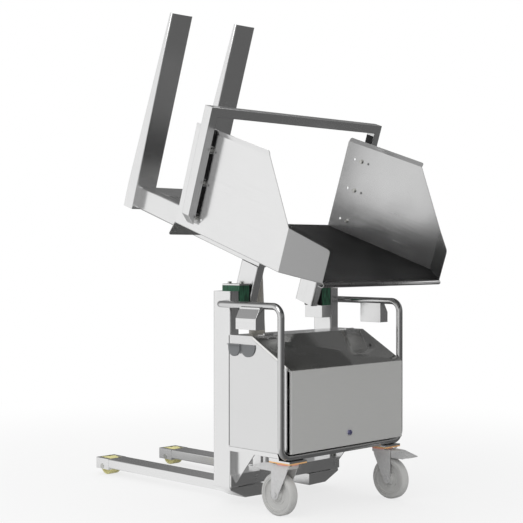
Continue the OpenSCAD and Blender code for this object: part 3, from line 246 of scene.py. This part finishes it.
# The near side plate has a finer grind and clearer reflections. The far one has a darker grey base: painted
# shade for its inner face, which lies in the chute's shade
chute_steel = brushed_steel("stainless_chute_sheet", "Z", rough=0.2, line_mm=7, line_len_mm=260, tipped=True)
shaded_far_plate_steel = brushed_steel("stainless_far_side_plate_painted_shade", "Z", "#CECECE", 0.24, 7, 260, tipped=True)
# The cabinet's sheet has a short grind, so its side looks a shade greyer than the masts
shell_steel = brushed_steel("stainless_cabinet_sheet", "X", "#E2E2E2", 0.24, 3, 60)

# The chute's floor has a dark grey base, and its reflections are tinted so that they go nearly black at a low
# angle: painted shade for the chute's shaded inside. Its lip and its underside are left out of this painted
# shade and keep the lighter grey of ground sheet.
shaded_floor_steel = brushed_steel("stainless_chute_floor_painted_shade", "Z", "#8A8A8A", 0.3, 7, 260, tipped=True)
tree, shader = shader_of(shaded_floor_steel)
shader.inputs["Specular Tint"].default_value = (0.07, 0.07, 0.07, 1)
on_lip = falling(tree, coordinate(tree, "Y"), LIP_Y + 12 * MM, LIP_Y + 14 * MM)
underneath = falling(tree, coordinate(tree, "Z", "Normal"), 0.1, 0.3)
unshaded_parts = add_node(tree, "ShaderNodeMath", {0: on_lip, 1: underneath}, operation="MAXIMUM").outputs[0]
shaded_tone = shader.inputs["Base Color"].links[0].from_socket
tree.links.new(mix_colour(tree, unshaded_parts, shaded_tone, linear("#BCBCBC")), shader.inputs["Base Color"])

# The cover's front was ground twice as coarse, so it scatters light and looks pale grey all over. Its slope
# is polished by sleeves and cloths, and mirrors the room in clear bands.
cover_steel = brushed_steel("stainless_cover_sheet", "X", "#EFEFED", 0.16, 3, 70, metallic=0.5)
tree, shader = shader_of(cover_steel)
on_slope = add_node(tree, "ShaderNodeMapRange", {
    "Value": coordinate(tree, "Z"),
    "From Min": COVER_FOLD_Z - 2 * MM, "From Max": COVER_FOLD_Z + 2 * MM}).outputs[0]
front_rough = shader.inputs["Roughness"].links[0].from_socket
tree.links.new(blend_number(tree, on_slope, front_rough, 0.09), shader.inputs["Roughness"])
tree.links.new(in_range(tree, on_slope, 0.5, 1.0), shader.inputs["Metallic"])

# Polished metals: the handle shows the room as long bright and dark stripes, bolts as small glints
tube_steel = polished_steel("stainless_polished_tube", "#D2D2D2", 0.14)
bolt_steel = polished_steel("stainless_bolts", "#C8C8C4", 0.24)
rod_chrome = polished_steel("hard_chrome_rod", "#E2E4E6", 0.07)
# Plated pressings: a flat light grey on yokes and pedals, a warm yellow line under the tray, a violet dot
zinc_pressing = plated_steel("zinc_plated_pressing", "#DADADA", 0.42, 0.3)
yellow_zinc = plated_steel("yellow_passivated_zinc", "#FFC684", 0.45, 0.1)
lock_metal = plated_steel("violet_anodised_lock", "#8C8CB4", 0.3, 0.8)
# Plastics of the running gear: matt grey wheels, a pink line at the swivel, pale yellow rollers
wheel_plastic = moulded_plastic("nylon_castor_wheel", "#D0D0CE", 0.42)
ring_plastic = moulded_plastic("pink_swivel_ring", "#FFB4AE", 0.5)
roller_plastic = moulded_plastic("polyurethane_roller", "#F3ECA8", 0.4, coat=0.1)
# The bearing blocks are the one strong colour: a streaked dark green
green_plastic = cast_nylon("green_cast_nylon", "#3E8060", "#1B3A2A")
# Small plastics, dull and quiet, and two glossy push buttons
hook_plastic = moulded_plastic("grey_hook_plastic", "#7C7E80", 0.4)
battery_plastic = moulded_plastic("black_battery_case", "#2B2E33", 0.5)
control_plastic = moulded_plastic("grey_controller_case", "#3A3E44", 0.5)
# The slide plates' near-black is partly painted shade, for the gap between bearing block and arm
slide_plastic_gap_shade = moulded_plastic("black_slide_plastic_gap_shade", "#141518", 0.5)
tip_plastic = moulded_plastic("green_push_button", "#2F9A4C", 0.3, coat=0.4)
lower_plastic = moulded_plastic("red_push_button", "#C63A2C", 0.3, coat=0.4)
# Rubber strips put in as painted shade: they read as dark lines where gaps and steps lie in shade
gap_shade_rubber = moulded_plastic("black_rubber_gap_shade", "#18181A", 0.6)
seal_line_shade_rubber = moulded_plastic("grey_seal_line_shade", "#6C6C6C", 0.6)
# Paints of the hydraulics, with a soft shine
pump_paint = sprayed_paint("grey_pump_paint", "#55595E")
barrel_paint = sprayed_paint("beige_cylinder_paint", "#C4C0B6")

FINISHES = {
    "mast_left": upright_steel, "mast_right": upright_steel, "mast_feet": crosswise_steel,
    "leg_left": lengthwise_steel, "leg_right": lengthwise_steel, "leg_caps": lengthwise_steel,
    "roller_axles": bolt_steel, "roller_left": roller_plastic, "roller_right": roller_plastic,
    "crossmember": crosswise_steel, "frame_gussets": upright_steel, "castor_pads": crosswise_steel,
    "castor_plates": yellow_zinc, "swivel_rings": ring_plastic,
    "castor_yoke_left": zinc_pressing, "castor_yoke_right": zinc_pressing,
    "castor_wheel_left": wheel_plastic, "castor_wheel_right": wheel_plastic,
    "castor_pedal_left": zinc_pressing, "castor_pedal_right": zinc_pressing,
    "cabinet_tray": crosswise_steel, "cabinet_shell": shell_steel, "front_cover": cover_steel,
    "hinge_bases": crosswise_steel, "hinge_leaves": crosswise_steel, "cover_lock": lock_metal,
    "cable_hook": hook_plastic, "battery": battery_plastic, "pump_motor": pump_paint,
    "oil_tank": pump_paint, "control_unit": control_plastic, "handle_tube": tube_steel,
    "control_box_left": lengthwise_steel, "control_box_right": lengthwise_steel,
    "tip_button": tip_plastic, "lower_button": lower_plastic,
    "bearing_block_left": green_plastic, "bearing_block_right": green_plastic,
    "bearing_brackets": crosswise_steel, "bearing_plates": crosswise_steel, "chassis_bolts": bolt_steel,
    "fork_left": tipped_long_steel, "fork_right": tipped_long_steel,
    "beam_left": tipped_long_steel, "beam_right": tipped_long_steel,
    "tilt_arm_left": tipped_square_steel, "tilt_arm_right": tipped_square_steel,
    "heel_crossbeam": tipped_cross_steel, "cross_rails": tipped_cross_steel,
    "chute_floor": shaded_floor_steel, "side_plate_left": chute_steel, "side_plate_right": shaded_far_plate_steel,
    "hoop": tipped_square_steel, "hoop_fixings": bolt_steel, "pivot_shafts": tipped_square_steel,
    "cylinder_lever": tipped_square_steel, "cylinder_foot": crosswise_steel,
    "cylinder_rod": rod_chrome, "cylinder_barrel": barrel_paint,
}
for node_name, finish in FINISHES.items():
    node = nodes[node_name]
    node.data.materials.clear()
    node.data.materials.append(finish)


# Modelling by hand

bpy.context.tool_settings.mesh_select_mode = (False, False, True)
AXLE_TURN = {"X": (0, math.pi / 2, 0), "Y": (math.pi / 2, 0, 0), "Z": (0, 0, 0)}


def place_mm(x, y, z):
    """A place given in mm from the masts' middle."""
    return Vector((x * MM, y * MM + MAST_Y, z * MM))


def tipped_mm(x, out, along):
    """A place on the tipping frame at rest: out from the chute floor, and along it from its rear edge."""
    y, z = CHUTE_OUT_MM + out, along - CHUTE_REAR_MM
    return place_mm(x, y * math.cos(TILT) - z * math.sin(TILT),
                    PIVOT_Z_MM + y * math.sin(TILT) + z * math.cos(TILT))


def only(piece):
    """Selects one piece and nothing else."""
    bpy.ops.object.select_all(action="DESELECT")
    piece.select_set(True)
    bpy.context.view_layer.objects.active = piece
    return piece


def turned(name, place, radius, width, steps, axle="X", vertices=96):
    """A turned piece on an axle. Its ends are stepped inwards from the rim: each step is an inset and a
    rise in mm."""
    bpy.ops.object.select_all(action="DESELECT")
    bpy.ops.mesh.primitive_cylinder_add(vertices=vertices, radius=radius * MM, depth=width * MM,
                                        location=place, rotation=AXLE_TURN[axle])
    piece = only(bpy.context.object)
    piece.name = name
    bpy.ops.object.transform_apply(location=True, rotation=True, scale=True)
    for side in (-1, 1):
        for face in piece.data.polygons:
            face.select = face.normal["XYZ".index(axle)] * side > 0.99
        bpy.ops.object.mode_set(mode="EDIT")
        for inset, rise in steps:
            bpy.ops.mesh.inset(thickness=inset * MM, depth=rise * MM)
        bpy.ops.object.mode_set(mode="OBJECT")
    return piece


def joined(name, pieces):
    """Several pieces made one."""
    only(pieces[0])
    for piece in pieces[1:]:
        piece.select_set(True)
    bpy.ops.object.join()
    made = bpy.context.object
    made.name = name
    return made


def dressed(piece, finish, slot, body, *replaced, angle=32):
    """Gives a finished piece its material, its shading and the body that it rides on."""
    only(piece)
    piece.data.materials.clear()
    piece.data.materials.append(finish)
    bpy.ops.object.shade_smooth_by_angle(angle=math.radians(angle))
    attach(piece, body)
    if replaced:
        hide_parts(*replaced)
    return piece


# Sheet and tube edges: a folded or sawn edge is never sharp, and its round catches a thin bright line

EDGE_ROUND_MM = {
    "side_plate_left": 1.2, "side_plate_right": 1.2, "chute_floor": 1.2,
    "tilt_arm_left": 1.0, "tilt_arm_right": 1.0, "beam_left": 1.0, "beam_right": 1.0,
    "fork_left": 1.2, "fork_right": 1.2, "hoop": 2.0, "heel_crossbeam": 2.0,
    "mast_left": 1.0, "mast_right": 1.0, "mast_feet": 2.0, "leg_left": 1.0, "leg_right": 1.0, "leg_caps": 1.5,
    "crossmember": 1.5, "frame_gussets": 1.0,
    "castor_pads": 1.5, "castor_plates": 1.0, "castor_yoke_left": 1.6, "castor_yoke_right": 1.6,
    "castor_pedal_left": 1.6, "castor_pedal_right": 1.6,
    "cabinet_tray": 1.2, "cabinet_shell": 1.5, "front_cover": 0.7, "cover_lock": 0.8, "cable_hook": 1.5,
    "hinge_leaves": 0.5, "hinge_bases": 0.5, "control_box_left": 1.5, "control_box_right": 1.5,
    "tip_button": 1.2, "lower_button": 1.2, "bearing_brackets": 1.5, "bearing_plates": 1.0,
    "bearing_block_left": 1.5, "bearing_block_right": 1.5,
    "battery": 3.0, "control_unit": 2.0, "oil_tank": 3.0,
}
for node_name, width_mm in EDGE_ROUND_MM.items():
    weld = nodes[node_name].modifiers.new("joined_faces", "WELD")
    weld.merge_threshold = 0.02 * MM
    edge = nodes[node_name].modifiers.new("edge_round", "BEVEL")
    edge.width = width_mm * MM
    edge.segments = 2
    edge.limit_method = "ANGLE"
    edge.angle_limit = math.radians(50)
    edge.use_clamp_overlap = True


# Castor wheels and rollers

# From the tread inwards: rounded rim, web with a raised ring, ribbed dish, hub and axle end
WHEEL_STEPS = [
    (1.2, 3.5), (2.8, 3.5), (2.0, 2.0), (2.5, 1.0), (8.0, 0.0), (0.8, -2.2), (1.6, 0.0), (0.8, 1.2), (5.0, 0.0),
    (2.0, -6.0), (4.0, -3.0), (20.0, -1.0), (1.0, 2.0), (4.0, 0.0), (1.0, -2.0), (11.0, 0.0), (2.0, 6.0),
    (3.0, 3.0), (3.5, 2.0), (0.5, 5.2), (7.0, 0.0)]
ROLLER_STEPS = [
    (0.6, 2.0), (1.4, 2.0), (2.0, 1.6), (2.0, 0.4), (9.0, 0.0), (1.0, -3.0), (10.0, 0.0), (1.0, 2.6), (6.0, 0.0)]
WHEEL_R_MM, ROLLER_R_MM = 100, 48
for side, trail, hand in ((-1, 54, "left"), (1, -54, "right")):
    wheel = turned("castor_wheel_%s_ribbed" % hand, place_mm(339 * side, trail - 395, WHEEL_R_MM),
                   WHEEL_R_MM, 28, WHEEL_STEPS)
    dressed(wheel, wheel_plastic, "wheel_plastic", hand + "_wheel", "castor_wheel_" + hand, angle=25)
    roller = turned("roller_%s_tyred" % hand, place_mm(225 * side, 1065.5, ROLLER_R_MM),
                    ROLLER_R_MM, 58, ROLLER_STEPS)
    dressed(roller, roller_plastic, "roller_plastic", hand + "_roller", "roller_" + hand, angle=25)


# Hexagon bolts with washers

# Sizes of a hexagon end in mm: corner radius and height of the hexagon, radius and thickness of the washer
M12_BEARING = (10, 8.5, 11, 1.5)
M12_HOOP_HEAD = (11, 5.5, 12.5, 1.5)
M12_HOOP_NUT = (10, 7.5, 12, 1.5)
M10_CASTOR = (8, 5, 9, 1.4)
M10_GUSSET = (7.5, 4.6, 8.5, 1.4)


def hex_end(place, sizes, axle, side):
    """A hexagon head or nut on its washer. Place is the middle of the washer's seat, and side says which
    way along the axle it points."""
    head_r, head_h, washer_r, washer_t = sizes
    way = Vector([side if letter == axle else 0 for letter in "XYZ"])
    washer = turned("washer", place + way * washer_t / 2 * MM, washer_r - 0.4, washer_t, [(0.4, 0.0)], axle, 40)
    head = turned("head", place + way * (washer_t + head_h / 2) * MM, head_r, head_h - 1.2,
                  [(0.7, 0.6), (0.25 * head_r, 0.0)], axle, 6)
    return joined("hex_end", [washer, head])


def shank(place, radius, length, axle):
    """A bolt's plain shank with a small chamfer at both ends."""
    return turned("shank", place, radius, length - 2, [(1.0, 1.0)], axle, 24)


# Two long bolts through each bearing block, one through each gusset, four in each castor plate
parts = []
for x in (-294, 294):
    for y in (-42, 42):
        parts += [hex_end(place_mm(x, y, 1066), M12_BEARING, "Z", 1),
                  shank(place_mm(x, y, 998), 6, 134, "Z"),
                  hex_end(place_mm(x, y, 939), M12_BEARING, "Z", -1)]
for x in (-343, 343):
    parts += [hex_end(place_mm(x, -60, 168), M10_GUSSET, "Y", -1), shank(place_mm(x, -57, 168), 5, 12, "Y")]
for x in (-379, -299, 299, 379):
    for y in (-447.5, -342.5):
        parts += [hex_end(place_mm(x, y, 252), M10_CASTOR, "Z", -1), shank(place_mm(x, y, 256), 5, 11, "Z")]
dressed(joined("chassis_hex_bolts", parts), bolt_steel, "fastener_steel", "chassis", "chassis_bolts")

# Three bolts with spacers hold each leg of the hoop
HOOP_ALONG_MM = 125
parts = []
for side in (-1, 1):
    for out in (62, 231, 389):
        parts += [
            hex_end(tipped_mm(542 * side, out, HOOP_ALONG_MM), M12_HOOP_HEAD, "X", -side),
            turned("spacer", tipped_mm(552.5 * side, out, HOOP_ALONG_MM), 14.2, 13.4,
                   [(0.8, 0.8), (5.0, 0.0)], "X", 48),
            shank(tipped_mm(554 * side, out, HOOP_ALONG_MM), 6, 34, "X"),
            hex_end(tipped_mm(563 * side, out, HOOP_ALONG_MM), M12_HOOP_NUT, "X", side)]
dressed(joined("hoop_hex_bolts", parts), bolt_steel, "fastener_steel", "tipping_frame", "hoop_fixings")


# Slabs: slide plates, pads and seals

def slab(name, middle, size_mm, turn=0.0):
    """A plain slab, turned about X, whose edges are still to be worked."""
    bpy.ops.object.select_all(action="DESELECT")
    bpy.ops.mesh.primitive_cube_add(size=1, location=middle, rotation=(turn, 0, 0),
                                    scale=[c * MM for c in size_mm])
    made = only(bpy.context.object)
    made.name = name
    bpy.ops.object.transform_apply(location=True, rotation=True, scale=True)
    return made


def worked_edges(piece, width_mm, segments=1):
    """Chamfers or rounds every sharp edge of a piece."""
    only(piece)
    edge = piece.modifiers.new("edges", "BEVEL")
    edge.width = width_mm * MM
    edge.segments = segments
    edge.limit_method = "ANGLE"
    bpy.ops.object.modifier_apply(modifier="edges")
    return piece


# A black slide plate between each bearing block and its tilt arm, bored for the pivot shaft. Its near-black
# colour also paints the shade in the gap between block and arm
SLIDE_X_MM = 257.8
for side, hand in ((-1, "left"), (1, "right")):
    slide = slab("slide_plate_" + hand, place_mm(SLIDE_X_MM * side, 0, 1001.5), (6.4, 118, 111))
    bore = turned("bore", place_mm(SLIDE_X_MM * side, 0, PIVOT_Z_MM), 41, 20, [(1.0, 0.0)])
    only(slide)
    cut = slide.modifiers.new("bore", "BOOLEAN")
    cut.operation = "DIFFERENCE"
    cut.object = bore
    bpy.ops.object.modifier_apply(modifier="bore")
    bpy.data.objects.remove(bore)
    dressed(worked_edges(slide, 0.8), slide_plastic_gap_shade, "battery_plastic", "chassis")

# Rubber pads between the hoop's legs and the side plates, and a seal along the cabinet beside each mast: dark
# strips put in as painted shade, for the shaded gap beside each leg and the shaded step between cabinet and mast
for side, hand in ((-1, "left"), (1, "right")):
    pads = []
    for out, length in ((146.5, 135), (310, 124), (470, 126)):
        pad = slab("pad", tipped_mm(558.8 * side, out, HOOP_ALONG_MM), (2.3, length, 46), TILT)
        pads.append(worked_edges(pad, 0.6, 3))
    dressed(joined("hoop_shade_pads_" + hand, pads), gap_shade_rubber, "battery_plastic", "tipping_frame")
    seal = slab("cabinet_shade_seal_" + hand, place_mm(395.8 * side, -62.5, 562), (2.2, 5, 524))
    dressed(worked_edges(seal, 0.6, 3), seal_line_shade_rubber, "battery_plastic", "chassis")


# Studio: a white room that is bright on the left and dark on the right, for what metal reflects

def eye_sees(tree):
    """1 for what the camera or glass sees."""
    path = add_node(tree, "ShaderNodeLightPath").outputs
    return add_node(tree, "ShaderNodeMath", {
        0: path["Is Camera Ray"], 1: path["Is Transmission Ray"]}, operation="MAXIMUM").outputs[0]


def leftness(tree, vector):
    """How far a direction or a place lies to the photo's left: half of Y taken from X, so low is left."""
    parts = add_node(tree, "ShaderNodeSeparateXYZ", {"Vector": vector}).outputs
    half_back = add_node(tree, "ShaderNodeMath", {0: parts["Y"], 1: -0.5}, operation="MULTIPLY").outputs[0]
    return add_node(tree, "ShaderNodeMath", {0: parts["X"], 1: half_back}, operation="ADD").outputs[0]


# Strengths that metal sees: white on the left, grey beside the camera, and dark on the right
WHITE_SIDE, GREY_SIDE, WHITE_FLOOR, DARK_FLOOR = 1.02, 0.42, 0.97, 0.13

world = bpy.data.worlds.new("white_studio")
bpy.context.scene.world = world
world.use_nodes = True
sky = world.node_tree
sky.nodes.clear()
direction = add_node(sky, "ShaderNodeTexCoord").outputs["Generated"]
rise = add_node(sky, "ShaderNodeSeparateXYZ", {"Vector": direction}).outputs["Z"]
from_left = add_node(sky, "ShaderNodeMath", {
    0: rise, 1: 0.6, 2: leftness(sky, direction)}, operation="MULTIPLY_ADD").outputs[0]
# Lighter slanting bands on the dark side, which the cover's slope and the chute pick up
slanted = add_node(sky, "ShaderNodeMapping", {"Vector": direction, "Rotation": (0.5, 0.3, 0.9)}).outputs[0]
waves = add_node(sky, "ShaderNodeTexWave", {
    "Vector": slanted, "Scale": 1.1, "Distortion": 1.5, "Detail": 1.0}).outputs["Fac"]
bands = add_node(sky, "ShaderNodeMapRange", {
    "Value": waves, "From Min": 0.47, "From Max": 0.55, "To Min": 0.13, "To Max": 0.3}).outputs[0]
low_boost = blend_number(sky, falling(sky, rise, 0.1, 0.6), 0.8, 1.15)
dark_side = add_node(sky, "ShaderNodeMath", {0: bands, 1: low_boost}, operation="MULTIPLY").outputs[0]
right_half = blend_number(sky, falling(sky, from_left, -0.55, 0.15), dark_side, GREY_SIDE)
metal_sees = blend_number(sky, falling(sky, from_left, -0.95, -0.6), right_half, WHITE_SIDE)
glossy = add_node(sky, "ShaderNodeLightPath").outputs["Is Glossy Ray"]
others_see = blend_number(sky, glossy, 0.75, metal_sees)
backdrop = add_node(sky, "ShaderNodeBackground", {
    "Color": (1, 1, 1, 1), "Strength": blend_number(sky, eye_sees(sky), others_see, 1.0)}).outputs[0]
add_node(sky, "ShaderNodeOutputWorld", {"Surface": backdrop})

bpy.ops.object.select_all(action="DESELECT")
bpy.ops.mesh.primitive_circle_add(vertices=96, radius=40, fill_type="NGON", location=(0, 0, 0))
floor = bpy.context.object
floor.name = "studio_floor"
# White paper that keeps a soft shadow under the machine and melts into the backdrop farther out
paper = bpy.data.materials.new("white_paper_floor")
paper.use_nodes = True
ground = paper.node_tree
ground.nodes.clear()
place = add_node(ground, "ShaderNodeTexCoord").outputs["Object"]
reach = add_node(ground, "ShaderNodeVectorMath", {0: place}, operation="LENGTH").outputs["Value"]
own_light = blend_number(ground, falling(ground, reach, 1.2, 4.0), 1.0, 0.74)
seen_light = add_node(ground, "ShaderNodeMath", {
    0: own_light, 1: eye_sees(ground)}, operation="MULTIPLY").outputs[0]
matt = add_node(ground, "ShaderNodeBsdfDiffuse", {"Color": linear("#E4E4E4")}).outputs[0]
glow = add_node(ground, "ShaderNodeEmission", {"Color": (1, 1, 1, 1), "Strength": 1.0}).outputs[0]
lit_paper = add_node(ground, "ShaderNodeMixShader", {0: seen_light, 1: matt, 2: glow}).outputs[0]
# Metal sees the paper white on the left, and in deep shade on the right
leftward = add_node(ground, "ShaderNodeMath", {
    0: leftness(ground, place), 1: reach}, operation="DIVIDE").outputs[0]
right_floor = blend_number(ground, falling(ground, leftward, -0.5, 0.15), DARK_FLOOR, GREY_SIDE)
floor_shine = blend_number(ground, falling(ground, leftward, -0.95, -0.55), right_floor, WHITE_FLOOR)
mirrored = add_node(ground, "ShaderNodeEmission", {"Color": (1, 1, 1, 1), "Strength": floor_shine}).outputs[0]
glossy = add_node(ground, "ShaderNodeLightPath").outputs["Is Glossy Ray"]
paper_skin = add_node(ground, "ShaderNodeMixShader", {0: glossy, 1: lit_paper, 2: mirrored}).outputs[0]
add_node(ground, "ShaderNodeOutputMaterial", {"Surface": paper_skin})
floor.data.materials.append(paper)


def soft_lamp(name, place, aim, size, watts):
    """A square soft lamp at place that points at aim."""
    lamp = bpy.data.lights.new(name, "AREA")
    lamp.size = size
    lamp.energy = watts
    holder = bpy.data.objects.new(name, lamp)
    bpy.context.scene.collection.objects.link(holder)
    holder.location = place
    holder.rotation_euler = (Vector(aim) - Vector(place)).to_track_quat("-Z", "Y").to_euler()


soft_lamp("left_softbox", (-4.0, -1.0, 4.2), (0, 0, 1.0), 3.0, 60)
soft_lamp("top_softbox", (0.5, 0.5, 5.5), (0, 0, 1.0), 3.5, 50)

# The camera is fitted to the photo's straight edges
camera = bpy.data.cameras.new("photo_view")
camera.lens = 84.68
camera.sensor_width = 36
viewer = bpy.data.objects.new("photo_view", camera)
bpy.context.scene.collection.objects.link(viewer)
viewer.location = (-4.4033, -4.5120, 1.2250)
viewer.rotation_euler = (math.radians(89.5), 0, math.radians(-44.8))
bpy.context.scene.camera = viewer
bpy.context.scene.view_settings.view_transform = "Standard"
